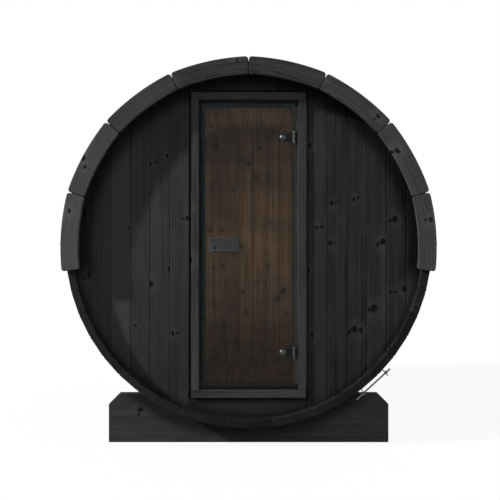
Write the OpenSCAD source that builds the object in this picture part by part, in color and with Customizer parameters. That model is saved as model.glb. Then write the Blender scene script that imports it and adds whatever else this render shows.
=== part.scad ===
// Barrel sauna of black stained boards: a coopered barrel of staves on two cradles, end walls set in
// grooves, an arched fascia on each end, a roof cover on the upper half, steel hoops with tension
// rods and a framed glass door. Millimetres, +Z up, the front faces -Y, the origin is on the ground
// under the middle of the barrel.

/* [Barrel] */
// Diameter across the flat outer faces of the staves
barrel_d = 2050; // [1850:10:2300]
// Length of the staves
barrel_len = 2100; // [1600:10:3000]
// Number of staves round the barrel, the same in each eighth
stave_count = 48; // [40:8:56]
// Thickness of a stave
stave_t = 40; // [38:1:50]
// Chamfer along the long edges of a stave
stave_chamfer = 5; // [2:0.5:6]
// Open joint between neighbouring staves
stave_joint = 0.3; // [0.2:0.1:1]
// Width of the tongue on the edge of a stave
tongue_w = 10; // [8:1:12]
// Height of the tongue on the edge of a stave
tongue_h = 8; // [5:1:10]
// Clearance round a tongue in its groove
tongue_clear = 0.4; // [0.2:0.1:1]
// Depth of the groove in the staves that holds an end wall
croze_depth = 12; // [8:1:13]

/* [End walls] */
// Thickness of an end wall
wall_t = 40; // [28:1:50]
// How far the outer face of an end wall lies behind the ends of the staves
wall_recess = 65; // [50:1:90]
// Cover width of a wall board
board_w = 112.5; // [90:0.5:140]
// Depth of the V groove between two wall boards
board_groove = 5.5; // [2:0.5:7]
// Distance of a board joint of the back wall from the middle line
back_joint_x = 29; // [10:1:60]

/* [Fascia] */
// Width of a fascia board
fascia_w = 100; // [80:1:110]
// Thickness of a fascia board
fascia_t = 28; // [20:1:40]
// How far a fascia board stands out past the staves at its middle
fascia_over = 22.5; // [14:0.5:30]
// How far below the barrel axis a fascia board's own centre of curvature lies
fascia_flat = 225; // [100:5:300]
// Angle that one fascia board covers
fascia_angle = 24.55; // [20:0.05:26]
// Boards on each side of an arch
fascia_boards = 4; // [3:1:5]
// Open joint between two fascia boards
fascia_joint = 3; // [1:0.5:5]
// Rounding of a fascia board's outer corners
fascia_round_out = 17; // [6:1:22]
// Rounding of a fascia board's inner corners
fascia_round_in = 10; // [4:1:14]

/* [Roof] */
// Thickness of the roof cover
roof_t = 6; // [4:0.5:9]
// Height above the barrel axis at which a drip edge leaves the roof cover
drip_knee = 64; // [40:1:90]
// Height of a drip edge's upper leg, which lies on the roof cover
drip_leg = 36; // [20:1:60]
// Height above the barrel axis of a drip edge's tip
drip_tip = 4; // [0:1:12]
// How far a drip edge flares out
drip_out = 24; // [12:1:40]
// Thickness of the sheet of a drip edge
drip_t = 2; // [1:0.5:4]

/* [Hoops] */
// Width of a hoop strap
hoop_w = 30; // [20:1:38]
// Thickness of a hoop strap
hoop_t = 1.5; // [1:0.5:3]
// Angle below the horizontal of the tension rods
rod_angle = 47.5; // [35:0.5:55]
// Diameter of a tension rod
rod_d = 10; // [8:1:14]
// Distance of a tension rod's axis from the strap
rod_rise = 39; // [30:1:55]
// Distance between the two lugs of a hoop
lug_gap = 160; // [120:5:220]
// Thickness of a lug
lug_t = 5; // [4:0.5:8]
// How far a lug reaches past the rod's axis
lug_over = 18; // [14:1:26]
// Length of the rod past the upper lug
rod_upper_end = 34; // [24:1:60]
// Length of the rod past the lower lug
rod_lower_end = 56; // [24:1:90]
// Width of a nut across its corners
nut_d = 20; // [17:0.5:26]
// Thickness of a nut
nut_t = 9; // [6:0.5:12]
// Running clearance of a rod in its lugs and nuts
rod_clear = 0.2; // [0.1:0.05:0.5]

/* [Cradles] */
// Gap between the ground and the lowest staves
ground_gap = 120; // [90:5:200]
// Width of a cradle
cradle_w = 1625; // [1400:5:1700]
// Height of a cradle
cradle_h = 282; // [220:2:330]
// Thickness of a cradle
cradle_t = 60; // [40:1:90]
// Chamfer on the top corners of a cradle
cradle_chamfer = 60; // [30:1:80]
// How far a cradle lies behind the end of the staves
cradle_setback = 150; // [130:5:400]

/* [Door frame] */
// Outer width of the door frame
frame_w = 650; // [600:5:720]
// Height of wall left above and below the door frame, up to the staves
door_headroom = 118; // [100:1:180]
// Width of the casing face
casing_w = 43; // [36:1:55]
// Width of the stop behind the glass
stop_w = 33; // [26:1:40]
// How far the casing stands in front of the wall
frame_proud = 16; // [8:1:24]
// How far the frame stands behind the wall
frame_behind = 10; // [4:1:30]
// Depth of the rebate that the glass closes in
rebate_depth = 28; // [26:1:34]
// Width of the lip that fits in the wall
lip_w = 12; // [8:1:20]
// How far the lip lies behind the wall's outer face
lip_setback = 15; // [8:1:24]

/* [Door] */
// Thickness of the glass
glass_t = 8; // [6:1:10]
// Gap between the edge of the glass and the side of the rebate
glass_margin = 17; // [14:1:22]
// Gap between the glass and the stop
stop_gap = 5; // [5:0.5:8]
// Width of a handle
handle_w = 175; // [140:1:220]
// Height of a handle
handle_h = 84; // [60:1:110]
// Thickness of a handle
handle_t = 20; // [14:1:28]
// Finger gap between a handle and the glass
handle_gap = 14; // [12:1:24]
// Chamfer round the face of a handle
handle_chamfer = 4; // [2:0.5:7]
// Distance of a handle from the free edge of the glass
handle_inset = 42; // [30:1:70]
// Diameter of a handle spacer
spacer_d = 24; // [16:1:30]
// Distance of a handle spacer from the end of its handle
spacer_inset = 30; // [18:1:45]

/* [Hinges] */
// Distance of each hinge from the end of the glass
hinge_drop = 196; // [120:1:300]
// Distance of the hinge axis from the side of the rebate
hinge_inset = 24.5; // [16:0.5:28]
// Radius of a hinge knuckle
knuckle_r = 8; // [6:0.5:9]
// Gap between a knuckle and the face of the glass
knuckle_gap = 1; // [0.5:0.5:3]
// Height of a hinge's middle knuckle
knuckle_h = 24; // [16:1:30]
// Height of a hinge leaf
leaf_h = 70; // [60:1:90]
// Thickness of a hinge leaf
leaf_t = 3; // [2:0.5:5]
// Radius of a hinge pin
pin_r = 3; // [2:0.5:4]
// Running clearance of a hinge pin
pin_clear = 0.05; // [0.02:0.01:0.1]
// End play of the middle knuckle
knuckle_play = 0.5; // [0.3:0.1:1]
// Reach of a glass clamp from the hinge axis
clamp_len = 82; // [60:1:95]
// Height of a glass clamp
clamp_h = 40; // [34:1:54]
// Thickness of a glass clamp plate
clamp_t = 5; // [4:0.5:5]
// Diameter of the domed cap on a glass clamp
cap_d = 38; // [26:1:40]
// Height of the domed cap on a glass clamp
cap_h = 8; // [4:0.5:10]
// Gap between a glass clamp's back plate and the stop
plate_gap = 6; // [5:0.5:10]

/* [Hidden] */
$fn = 96;
// Gap at which a piece lies on the curved seat that carries it
seat_gap = 0.3;
// Overshoot of a cutter past the face that it cuts
cut_over = 1;
// Straight steps in a long arc and in a rounded corner of a fascia board
arc_steps = 16;
corner_steps = 5;

// Barrel
barrel_r = barrel_d / 2;
stave_in_r = barrel_r - stave_t;
stave_mid_r = barrel_r - stave_t / 2;
stave_angle = 360 / stave_count;
staves_in_group = stave_count / 8;
stave_corner_r = norm([barrel_r, stave_half_w(barrel_r) - stave_chamfer]);
axis_z = ground_gap + barrel_r;
front_y = -barrel_len / 2;
rear_y = barrel_len / 2;

// End walls
wall_r = stave_in_r + croze_depth - seat_gap;
front_wall_y = front_y + wall_recess;
rear_wall_y = rear_y - wall_recess - wall_t;
frame_h = 2 * (stave_in_r - door_headroom);
opening_x = frame_w / 2 + lip_w;
opening_z = frame_h / 2 + lip_w;

// Fascia
fascia_out_r = barrel_r + fascia_over + fascia_flat;
fascia_in_r = fascia_out_r - fascia_w;

// Hoops and roof
hoop_in_r = stave_corner_r + seat_gap;
hoop_out_r = hoop_in_r + hoop_t;
front_hoop_y = front_wall_y + wall_t / 2;
rear_hoop_y = rear_wall_y + wall_t / 2;
rod_r = hoop_out_r + rod_rise;
lug_x = lug_gap / 2 + lug_t;
roof_in_r = hoop_out_r + seat_gap;
roof_out_r = roof_in_r + roof_t;

// Door frame and door
frame_y = front_wall_y - frame_proud;
frame_depth = frame_proud + wall_t + frame_behind;
rebate_x = frame_w / 2 - casing_w;
rebate_z = frame_h / 2 - casing_w;
clear_x = rebate_x - stop_w;
clear_z = rebate_z - stop_w;
stop_y = frame_y + rebate_depth;
glass_x = rebate_x - glass_margin;
glass_z = rebate_z - glass_margin;
glass_back_y = stop_y - stop_gap;
glass_y = glass_back_y - glass_t;
hinge_x = rebate_x - hinge_inset;
hinge_y = glass_y - knuckle_gap - knuckle_r;
hinge_z = glass_z - hinge_drop;
handle_x = -glass_x + handle_inset;
arm_x = hinge_x - knuckle_r - stop_gap;
clamp_x = hinge_x - clamp_len;
cap_r = (cap_d * cap_d / 4 + cap_h * cap_h) / (2 * cap_h);
back_plate_x = clear_x - plate_gap;

// Colours
stain = "#2f2f30";
stain_light = "#3d3d3e";
felt = "#26272a";
steel = "#8d8f92";
dark_steel = "#4a4b4d";
bronze_glass = "#5a4a3a";

// An outline drawn round the barrel axis, seen from the front, made from y_start to y_start + depth
module along_barrel(y_start, depth)
    translate([0, y_start + depth, axis_z]) rotate([90, 0, 0]) linear_extrude(depth) children();

// A box from its lowest to its highest corner, its heights measured from the barrel axis
module axis_box(low, high)
    translate([low.x, low.y, axis_z + low.z]) cube(high - low);

// Half the width of a stave at a distance from the barrel axis
function stave_half_w(r) =
    r * tan(180 / stave_count) - stave_joint / 2 / cos(180 / stave_count);

// One stave's outline with its outer face up, without its tongue and groove
module stave_blank()
    polygon([
        [stave_half_w(stave_in_r) - stave_chamfer, stave_in_r],
        [stave_half_w(stave_in_r + stave_chamfer), stave_in_r + stave_chamfer],
        [stave_half_w(barrel_r - stave_chamfer), barrel_r - stave_chamfer],
        [stave_half_w(barrel_r) - stave_chamfer, barrel_r],
        [stave_chamfer - stave_half_w(barrel_r), barrel_r],
        [-stave_half_w(barrel_r - stave_chamfer), barrel_r - stave_chamfer],
        [-stave_half_w(stave_in_r + stave_chamfer), stave_in_r + stave_chamfer],
        [stave_chamfer - stave_half_w(stave_in_r), stave_in_r]
    ]);

// The tongue's outline on a stave's edge, grown by a clearance where it is the groove's
module tongue_outline(edge_angle, root, grow)
    rotate(edge_angle)
        translate([-root, stave_mid_r - tongue_w / 2 - grow])
            square([root + tongue_h + grow, tongue_w + 2 * grow]);

module stave_outline()
    difference() {
        union() {
            stave_blank();
            tongue_outline(-stave_angle / 2, tongue_h, 0);
        }
        tongue_outline(stave_angle / 2, tongue_h, tongue_clear);
    }

// One stave at its place round the barrel, counted from the bottom towards the right
module stave(place) {
    turn = 180 + (place + 0.5) * stave_angle;
    difference() {
        along_barrel(front_y, barrel_len) rotate(turn) stave_outline();
        for (wall_y = [front_wall_y, rear_wall_y])
            along_barrel(wall_y - seat_gap, wall_t + 2 * seat_gap)
                rotate(turn)
                    translate([-stave_half_w(barrel_r) - tongue_h, stave_in_r - cut_over])
                        square([2 * (stave_half_w(barrel_r) + tongue_h), croze_depth + cut_over]);
    }
}

module stave_group(group)
    color(stain)
        for (place = [0 : staves_in_group - 1])
            stave(group * staves_in_group + place);

module right_floor_staves() { stave_group(0); }
module right_low_staves() { stave_group(1); }
module right_high_staves() { stave_group(2); }
module right_roof_staves() { stave_group(3); }
module left_roof_staves() { stave_group(4); }
module left_high_staves() { stave_group(5); }
module left_low_staves() { stave_group(6); }
module left_floor_staves() { stave_group(7); }

// V grooves between the boards of a wall, on both of its faces
module board_grooves(wall_y, joints)
    for (x = joints, face_y = [wall_y, wall_y + wall_t])
        translate([x, face_y, axis_z])
            rotate([0, 0, 45])
                cube([board_groove * sqrt(2), board_groove * sqrt(2), 2 * barrel_r], center = true);

// The part of the front wall on one side of the door
module front_wall_side(side)
    color(stain)
        difference() {
            along_barrel(front_wall_y, wall_t)
                intersection() {
                    circle(wall_r);
                    translate([side > 0 ? opening_x : -opening_x - barrel_r, -barrel_r])
                        square([barrel_r, 2 * barrel_r]);
                }
            board_grooves(front_wall_y,
                [for (x = [opening_x + board_w : board_w : wall_r - board_groove]) side * x]);
        }

// The part of the front wall over or under the door
module front_wall_end(side)
    color(stain)
        along_barrel(front_wall_y, wall_t)
            intersection() {
                circle(wall_r);
                translate([-opening_x, side > 0 ? opening_z : -opening_z - barrel_r])
                    square([2 * opening_x, barrel_r]);
            }

module front_wall_left() { front_wall_side(-1); }
module front_wall_right() { front_wall_side(1); }
module front_wall_over_door() { front_wall_end(1); }
module front_wall_under_door() { front_wall_end(-1); }

module back_wall() {
    first = ceil((board_groove - wall_r - back_joint_x) / board_w);
    last = floor((wall_r - board_groove - back_joint_x) / board_w);
    color(stain)
        difference() {
            along_barrel(rear_wall_y, wall_t) circle(wall_r);
            board_grooves(rear_wall_y, [for (k = [first : last]) back_joint_x + k * board_w]);
        }
}

// Points of a fascia board's right end, worked out along its end line: the rounded inner corner,
// then the rounded outer corner
function end_line_point(u, v) =
    let (half = fascia_angle / 2)
    [u * cos(half) + v * sin(half), v * cos(half) - u * sin(half)];
function corner_centre(round_r, edge_r, inward) =
    let (
        half = fascia_angle / 2,
        u = -fascia_joint / 2 - round_r,
        reach = edge_r + inward * round_r,
        across = u - fascia_flat * sin(half)
    )
    [u, sqrt(reach * reach - across * across) - fascia_flat * cos(half)];
function corner_turn(centre) =
    let (half = fascia_angle / 2)
    atan2(centre.y + fascia_flat * cos(half), centre.x - fascia_flat * sin(half));
function corner_points(centre, round_r, from, to) =
    [for (i = [0 : corner_steps])
        let (turn = from + (to - from) * i / corner_steps)
        end_line_point(centre.x + round_r * cos(turn), centre.y + round_r * sin(turn))];
function arc_points(r, from, to) =
    [for (i = [1 : arc_steps - 1])
        let (turn = from + (to - from) * i / arc_steps)
        [r * cos(turn), r * sin(turn) - fascia_flat]];
function mirrored(points) =
    [for (i = [len(points) - 1 : -1 : 0]) [-points[i].x, points[i].y]];

// One fascia board's outline, centred at the top of the barrel
module fascia_outline() {
    half = fascia_angle / 2;
    inner = corner_centre(fascia_round_in, fascia_in_r, 1);
    outer = corner_centre(fascia_round_out, fascia_out_r, -1);
    inner_turn = corner_turn(inner);
    outer_turn = corner_turn(outer);
    right_end = concat(
        corner_points(inner, fascia_round_in, inner_turn - 180, 0),
        corner_points(outer, fascia_round_out, 0, outer_turn)
    );
    polygon(concat(
        right_end,
        arc_points(fascia_out_r, outer_turn - half, 180 - outer_turn + half),
        mirrored(right_end),
        arc_points(fascia_in_r, 180 - inner_turn + half, inner_turn - half)
    ));
}

// The boards of one side of an arch
module fascia_side(y_start, side)
    color(stain_light)
        for (board = [0 : fascia_boards - 1])
            along_barrel(y_start, fascia_t)
                rotate(-side * (board + 0.5) * fascia_angle)
                    fascia_outline();

module front_fascia_left() { fascia_side(front_y - fascia_t, -1); }
module front_fascia_right() { fascia_side(front_y - fascia_t, 1); }
module rear_fascia_left() { fascia_side(rear_y, -1); }
module rear_fascia_right() { fascia_side(rear_y, 1); }

module roof_cover()
    color(felt)
        along_barrel(front_y + seat_gap, barrel_len - 2 * seat_gap)
            difference() {
                circle(roof_out_r);
                circle(roof_in_r);
                translate([-2 * barrel_r, -4 * barrel_r]) square(4 * barrel_r);
            }

// How far from the middle a drip edge's inner face lies where it rests on the roof cover
function drip_x(z) = sqrt(pow(roof_out_r + 2 * seat_gap, 2) - z * z);

module drip_edge(side)
    color(dark_steel)
        along_barrel(front_y + seat_gap, barrel_len - 2 * seat_gap)
            scale([side, 1])
                polygon([
                    [drip_x(drip_knee + drip_leg), drip_knee + drip_leg],
                    [drip_x(drip_knee), drip_knee],
                    [drip_x(drip_knee) + drip_out - drip_t, drip_tip],
                    [drip_x(drip_knee) + drip_out, drip_tip],
                    [drip_x(drip_knee) + drip_t, drip_knee],
                    [drip_x(drip_knee + drip_leg) + drip_t, drip_knee + drip_leg]
                ]);

module left_drip_edge() { drip_edge(-1); }
module right_drip_edge() { drip_edge(1); }

// Places a shape, drawn with the rod along X and the barrel's outside up, at a hoop's tension rod
module at_rod(hoop_y)
    translate([0, hoop_y, axis_z]) rotate([0, 90 + rod_angle, 0]) children();

// A hoop's outline, drawn with the rod along X and the barrel's outside up: a strap that is open at
// the rod, and a lug on each end
module hoop_outline() {
    gap_turn = asin((lug_x - lug_t / 2) / hoop_in_r);
    difference() {
        union() {
            difference() {
                circle(hoop_out_r);
                polygon([
                    [0, 0],
                    [barrel_d * tan(gap_turn), barrel_d],
                    [-barrel_d * tan(gap_turn), barrel_d]
                ]);
            }
            for (x = [-lug_x, lug_x - lug_t])
                translate([x, stave_in_r]) square([lug_t, rod_r + lug_over - stave_in_r]);
        }
        circle(hoop_in_r);
    }
}

module hoop(hoop_y)
    color(steel)
        difference() {
            along_barrel(hoop_y - hoop_w / 2, hoop_w) rotate(-90 - rod_angle) hoop_outline();
            at_rod(hoop_y)
                translate([0, 0, rod_r]) rotate([0, 90, 0])
                    cylinder(r = rod_d / 2 + rod_clear, h = 2 * lug_x + 2 * cut_over, center = true);
        }

module front_hoop() { hoop(front_hoop_y); }
module middle_hoop() { hoop(0); }
module rear_hoop() { hoop(rear_hoop_y); }

module tension_rods()
    color(steel)
        for (hoop_y = [front_hoop_y, 0, rear_hoop_y])
            at_rod(hoop_y)
                translate([-lug_x - rod_upper_end, 0, rod_r]) rotate([0, 90, 0])
                    cylinder(d = rod_d, h = 2 * lug_x + rod_upper_end + rod_lower_end);

module tension_nuts()
    color(steel)
        for (hoop_y = [front_hoop_y, 0, rear_hoop_y], side = [-1, 1])
            at_rod(hoop_y)
                translate([side > 0 ? lug_x : -lug_x - nut_t, 0, rod_r]) rotate([0, 90, 0])
                    difference() {
                        cylinder(d = nut_d, h = nut_t, $fn = 6);
                        translate([0, 0, -cut_over])
                            cylinder(r = rod_d / 2 + rod_clear, h = nut_t + 2 * cut_over);
                    }

// A cradle: a board on edge, its top cut to the barrel's curve
module cradle(y_start)
    color(stain)
        along_barrel(y_start, cradle_t)
            difference() {
                polygon([
                    [-cradle_w / 2, -axis_z],
                    [cradle_w / 2, -axis_z],
                    [cradle_w / 2, cradle_h - cradle_chamfer - axis_z],
                    [cradle_w / 2 - cradle_chamfer, cradle_h - axis_z],
                    [cradle_chamfer - cradle_w / 2, cradle_h - axis_z],
                    [-cradle_w / 2, cradle_h - cradle_chamfer - axis_z]
                ]);
                circle(stave_corner_r + seat_gap);
            }

module front_cradle() { cradle(front_y + cradle_setback); }
module rear_cradle() { cradle(rear_y - cradle_setback - cradle_t); }

// An upright of the door frame: casing, stop and the lip that fits in the wall
module frame_jamb(side)
    color(stain_light)
        mirror([side > 0 ? 0 : 1, 0, 0])
            union() {
                axis_box([rebate_x, frame_y, -rebate_z], [frame_w / 2, frame_y + frame_depth, rebate_z]);
                axis_box([clear_x, stop_y, -clear_z], [rebate_x, frame_y + frame_depth, clear_z]);
                axis_box([frame_w / 2, front_wall_y + lip_setback, -rebate_z],
                    [opening_x, front_wall_y + wall_t, rebate_z]);
            }

// The head or the sill of the door frame, which the uprights stand between
module frame_rail(side)
    color(stain_light)
        translate([0, 0, axis_z]) mirror([0, 0, side > 0 ? 0 : 1]) translate([0, 0, -axis_z])
            union() {
                axis_box([-frame_w / 2, frame_y, rebate_z],
                    [frame_w / 2, frame_y + frame_depth, frame_h / 2]);
                axis_box([-rebate_x, stop_y, clear_z], [rebate_x, frame_y + frame_depth, rebate_z]);
                axis_box([-opening_x, front_wall_y + lip_setback, rebate_z],
                    [opening_x, front_wall_y + wall_t, opening_z]);
            }

module frame_left_jamb() { frame_jamb(-1); }
module frame_right_jamb() { frame_jamb(1); }
module frame_head() { frame_rail(1); }
module frame_sill() { frame_rail(-1); }

// A hinge's fixed half: a leaf in the rebate, two knuckles and the pin
module jamb_hinge(z) {
    knuckle_z = knuckle_h / 2 + knuckle_play;
    color(steel)
        union() {
            axis_box([rebate_x - leaf_t, frame_y + leaf_t, z - leaf_h / 2],
                [rebate_x, stop_y - leaf_t, z + leaf_h / 2]);
            for (low = [z - leaf_h / 2, z + knuckle_z]) {
                translate([hinge_x, hinge_y, axis_z + low])
                    cylinder(r = knuckle_r, h = leaf_h / 2 - knuckle_z);
                axis_box([hinge_x, hinge_y - pin_r, low],
                    [rebate_x - leaf_t, hinge_y + pin_r, low + leaf_h / 2 - knuckle_z]);
            }
            translate([hinge_x, hinge_y, axis_z + z]) cylinder(r = pin_r, h = leaf_h, center = true);
        }
}

module upper_jamb_hinge() { jamb_hinge(hinge_z); }
module lower_jamb_hinge() { jamb_hinge(-hinge_z); }

module door_glass()
    color(bronze_glass)
        axis_box([-glass_x, glass_y, -glass_z], [glass_x, glass_back_y, glass_z]);

// A hinge's moving half: a clamp plate with a round end and a domed cap, the middle knuckle,
// and the plate on the other face of the glass
module glass_clamp(z) {
    round_x = clamp_x + clamp_h / 2;
    color(steel) {
        difference() {
            union() {
                axis_box([round_x, glass_y - clamp_t, z - clamp_h / 2], [arm_x, glass_y, z + clamp_h / 2]);
                translate([round_x, glass_y, axis_z + z]) rotate([90, 0, 0])
                    cylinder(d = clamp_h, h = clamp_t);
                translate([round_x, glass_y - clamp_t, axis_z + z]) rotate([90, 0, 0])
                    intersection() {
                        translate([0, 0, cap_h - cap_r]) sphere(cap_r);
                        cylinder(d = 2 * cap_d, h = 2 * cap_h);
                    }
                axis_box([arm_x - clamp_t, glass_y - clamp_t, z - knuckle_h / 2],
                    [hinge_x - pin_r, glass_y, z + knuckle_h / 2]);
                translate([hinge_x, hinge_y, axis_z + z])
                    cylinder(r = knuckle_r, h = knuckle_h, center = true);
            }
            translate([hinge_x, hinge_y, axis_z + z])
                cylinder(r = pin_r + pin_clear, h = leaf_h, center = true);
        }
        axis_box([round_x, glass_back_y, z - clamp_h / 2],
            [back_plate_x, glass_back_y + clamp_t, z + clamp_h / 2]);
    }
}

module upper_glass_clamp() { glass_clamp(hinge_z); }
module lower_glass_clamp() { glass_clamp(-hinge_z); }

// A flat wooden grip with a chamfer round its face, drawn with its back on y 0 and its face towards -Y
module handle_grip()
    intersection() {
        translate([0, -handle_t, -handle_h / 2]) cube([handle_w, handle_t, handle_h]);
        translate([0, 0, -handle_h / 2])
            linear_extrude(handle_h)
                polygon([
                    [0, 0],
                    [0, handle_chamfer - handle_t],
                    [handle_chamfer, -handle_t],
                    [handle_w - handle_chamfer, -handle_t],
                    [handle_w, handle_chamfer - handle_t],
                    [handle_w, 0]
                ]);
        rotate([90, 0, 90])
            linear_extrude(handle_w)
                polygon([
                    [0, -handle_h / 2],
                    [0, handle_h / 2],
                    [handle_chamfer - handle_t, handle_h / 2],
                    [-handle_t, handle_h / 2 - handle_chamfer],
                    [-handle_t, handle_chamfer - handle_h / 2],
                    [handle_chamfer - handle_t, -handle_h / 2]
                ]);
    }

module outer_handle()
    color(stain)
        translate([handle_x, glass_y - handle_gap, axis_z]) handle_grip();

module inner_handle()
    color(stain)
        translate([handle_x, glass_back_y + handle_gap, axis_z]) mirror([0, 1, 0]) handle_grip();

module handle_spacers()
    color(dark_steel)
        for (x = [handle_x + spacer_inset, handle_x + handle_w - spacer_inset],
             y = [glass_y, glass_back_y + handle_gap])
            translate([x, y, axis_z]) rotate([90, 0, 0]) cylinder(d = spacer_d, h = handle_gap);

right_floor_staves();
right_low_staves();
right_high_staves();
right_roof_staves();
left_roof_staves();
left_high_staves();
left_low_staves();
left_floor_staves();
front_wall_left();
front_wall_right();
front_wall_over_door();
front_wall_under_door();
back_wall();
front_fascia_left();
front_fascia_right();
rear_fascia_left();
rear_fascia_right();
roof_cover();
left_drip_edge();
right_drip_edge();
front_hoop();
middle_hoop();
rear_hoop();
tension_rods();
tension_nuts();
front_cradle();
rear_cradle();
frame_left_jamb();
frame_right_jamb();
frame_head();
frame_sill();
upper_jamb_hinge();
lower_jamb_hinge();
door_glass();
upper_glass_clamp();
lower_glass_clamp();
outer_handle();
inner_handle();
handle_spacers();
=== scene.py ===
# %% [markdown]
# # A black barrel sauna
# This lesson dresses a barrel sauna: a coopered barrel of black stained boards with a glass door.
# The solids come from the frame at their real size and place. Each step below rebuilds the pieces
# that show as boards with eased edges and gives every surface its own finish.

# %% Load the frame
import math
import bmesh
import bpy
from mathutils import Matrix, Vector


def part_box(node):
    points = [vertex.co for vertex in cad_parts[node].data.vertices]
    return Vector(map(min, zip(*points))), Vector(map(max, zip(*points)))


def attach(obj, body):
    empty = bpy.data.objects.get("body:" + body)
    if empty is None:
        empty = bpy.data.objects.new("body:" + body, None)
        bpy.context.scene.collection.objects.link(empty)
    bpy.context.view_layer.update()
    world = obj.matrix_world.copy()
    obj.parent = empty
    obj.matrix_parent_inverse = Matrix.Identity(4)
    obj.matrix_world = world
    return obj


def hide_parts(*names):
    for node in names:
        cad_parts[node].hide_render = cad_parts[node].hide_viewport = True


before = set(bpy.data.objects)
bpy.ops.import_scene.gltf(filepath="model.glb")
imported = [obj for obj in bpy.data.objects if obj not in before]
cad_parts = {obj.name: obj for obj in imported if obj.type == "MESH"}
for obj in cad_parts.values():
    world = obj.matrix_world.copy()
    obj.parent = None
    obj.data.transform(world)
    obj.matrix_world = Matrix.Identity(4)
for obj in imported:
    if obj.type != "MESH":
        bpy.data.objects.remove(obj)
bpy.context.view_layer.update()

# %% [markdown]
# ## Main measures
# Nearly everything on a barrel is placed by its axis, so the axis and the planes of the end walls are
# read from the frame once. The sizes of a stave are noted beside them. All lengths are metres.

# %% Read the main measures
CABIN = "cabin"
DOOR = "door"
STAVE_COUNT = 48
STAVE_T = 0.040
BARREL_R = 1.025
SEAT_GAP = 0.0003
CROZE = 0.012


def node_box(node):
    """The lowest and highest corner of a node, as vectors."""
    low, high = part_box(node)
    return Vector(low), Vector(high)


hoop_low, hoop_high = node_box("middle_hoop")
stave_low, stave_high = node_box("right_low_staves")
wall_low, wall_high = node_box("front_wall_left")
back_low, back_high = node_box("back_wall")
roof_low, roof_high = node_box("roof_cover")
AXIS_Z = (hoop_low.z + hoop_high.z) / 2
FRONT_Y = stave_low.y
REAR_Y = stave_high.y
INNER_R = BARREL_R - STAVE_T
WALL_R = INNER_R + CROZE - SEAT_GAP
STAVE_TURN = 2 * math.pi / STAVE_COUNT
AXIS = Vector((0, 0, AXIS_Z))
print(f"axis {AXIS_Z:.3f} m above the ground, staves {FRONT_Y:.3f} to {REAR_Y:.3f} m")

# %% [markdown]
# ## Camera
# The photograph looks straight at the door from about four metres, a little below the barrel's axis
# and a few millimetres to the right. The barrel's circle and the back wall seen through the glass
# fix the distance. The lens follows from the width that the picture covers at the stave ends.

# %% Place the camera
CAMERA_DISTANCE = 4.076
PICTURE_WIDTH = 2.80
CAMERA_RIGHT = 0.008
CAMERA_DROP = 0.028
SENSOR = 36.0

camera_data = bpy.data.cameras.new("photo_camera")
camera_data.sensor_width = SENSOR
camera_data.lens = SENSOR * CAMERA_DISTANCE / PICTURE_WIDTH
camera = bpy.data.objects.new("photo_camera", camera_data)
camera.location = (CAMERA_RIGHT, FRONT_Y - CAMERA_DISTANCE, AXIS_Z - CAMERA_DROP)
camera.rotation_euler = (math.pi / 2, 0, 0)
bpy.context.collection.objects.link(camera)
bpy.context.scene.camera = camera
print(f"lens {camera_data.lens:.1f} mm")

# %% [markdown]
# ## Shader sums
# A finish is mostly arithmetic on textures. This class wraps one output socket, so that sums on
# patterns read like sums in Python. Its method make adds any node that is needed, and the other
# methods are short names for the nodes that come up often.


# %% Wrap sockets for arithmetic
class Wire:
    """An output socket of a node tree that takes part in Python sums."""

    def __init__(self, tree, socket=None):
        self.tree = tree
        self.socket = socket

    def make(self, kind, settings=None, inputs=None, output=0):
        """Adds a node, sets it up, feeds its sockets and hands back one of its outputs."""
        node = self.tree.nodes.new(kind)
        for name, value in (settings or {}).items():
            setattr(node, name, value)
        for name, value in (inputs or {}).items():
            if isinstance(value, Wire):
                self.tree.links.new(value.socket, node.inputs[name])
            else:
                node.inputs[name].default_value = value
        return Wire(self.tree, node.outputs[output])

    def calc(self, operation, first, second=0.0):
        return self.make("ShaderNodeMath", {"operation": operation}, {0: first, 1: second})

    def __add__(self, other):
        return self.calc("ADD", self, other)

    def __sub__(self, other):
        return self.calc("SUBTRACT", self, other)

    def __rsub__(self, other):
        return self.calc("SUBTRACT", other, self)

    def __mul__(self, other):
        return self.calc("MULTIPLY", self, other)

    __radd__ = __add__
    __rmul__ = __mul__

    def clamp(self, low=0.0, high=1.0):
        return self.make("ShaderNodeClamp", None, {"Value": self, "Min": low, "Max": high})

    def wave(self):
        """A triangle wave from 0 to 1 that repeats with each whole number."""
        return self.calc("PINGPONG", self, 0.5) * 2.0

    def step(self, low, high):
        """A smooth rise from 0 at low to 1 at high."""
        settings = {"interpolation_type": "SMOOTHSTEP"}
        return self.make("ShaderNodeMapRange", settings, {"Value": self, "From Min": low, "From Max": high})

    def stretch(self, x, y, z):
        """This vector with each part multiplied."""
        return self.make("ShaderNodeVectorMath", {"operation": "MULTIPLY"}, {0: self, 1: (x, y, z)})

    def noise(self, scale=1.0, detail=2.0, roughness=0.5):
        inputs = {"Vector": self, "Scale": scale, "Detail": detail, "Roughness": roughness}
        return self.make("ShaderNodeTexNoise", None, inputs)

    def blend(self, first, second):
        """A colour between two colours, this value saying how much of the second."""
        inputs = {0: self}
        for place, colour in ((6, first), (7, second)):
            inputs[place] = colour if isinstance(colour, Wire) else (*colour, 1)
        return self.make("ShaderNodeMix", {"data_type": "RGBA"}, inputs, 2)


print("sums on sockets with", Wire.__name__)

# %% [markdown]
# ## Finishes
# Every surface uses one Principled shader. What stays the same all over a surface is set on the
# shader's sockets, and only what varies is linked to them, so each finish below is short to read.


# %% Make helpers for finishes
def new_finish(name, constants):
    """A material with one Principled shader, its constant sockets set, and a Wire to start sums from."""
    material = bpy.data.materials.new(name)
    material.use_nodes = True
    shader = material.node_tree.nodes["Principled BSDF"]
    for socket, value in constants.items():
        shader.inputs[socket].default_value = value
    return material, shader, Wire(material.node_tree)


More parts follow.
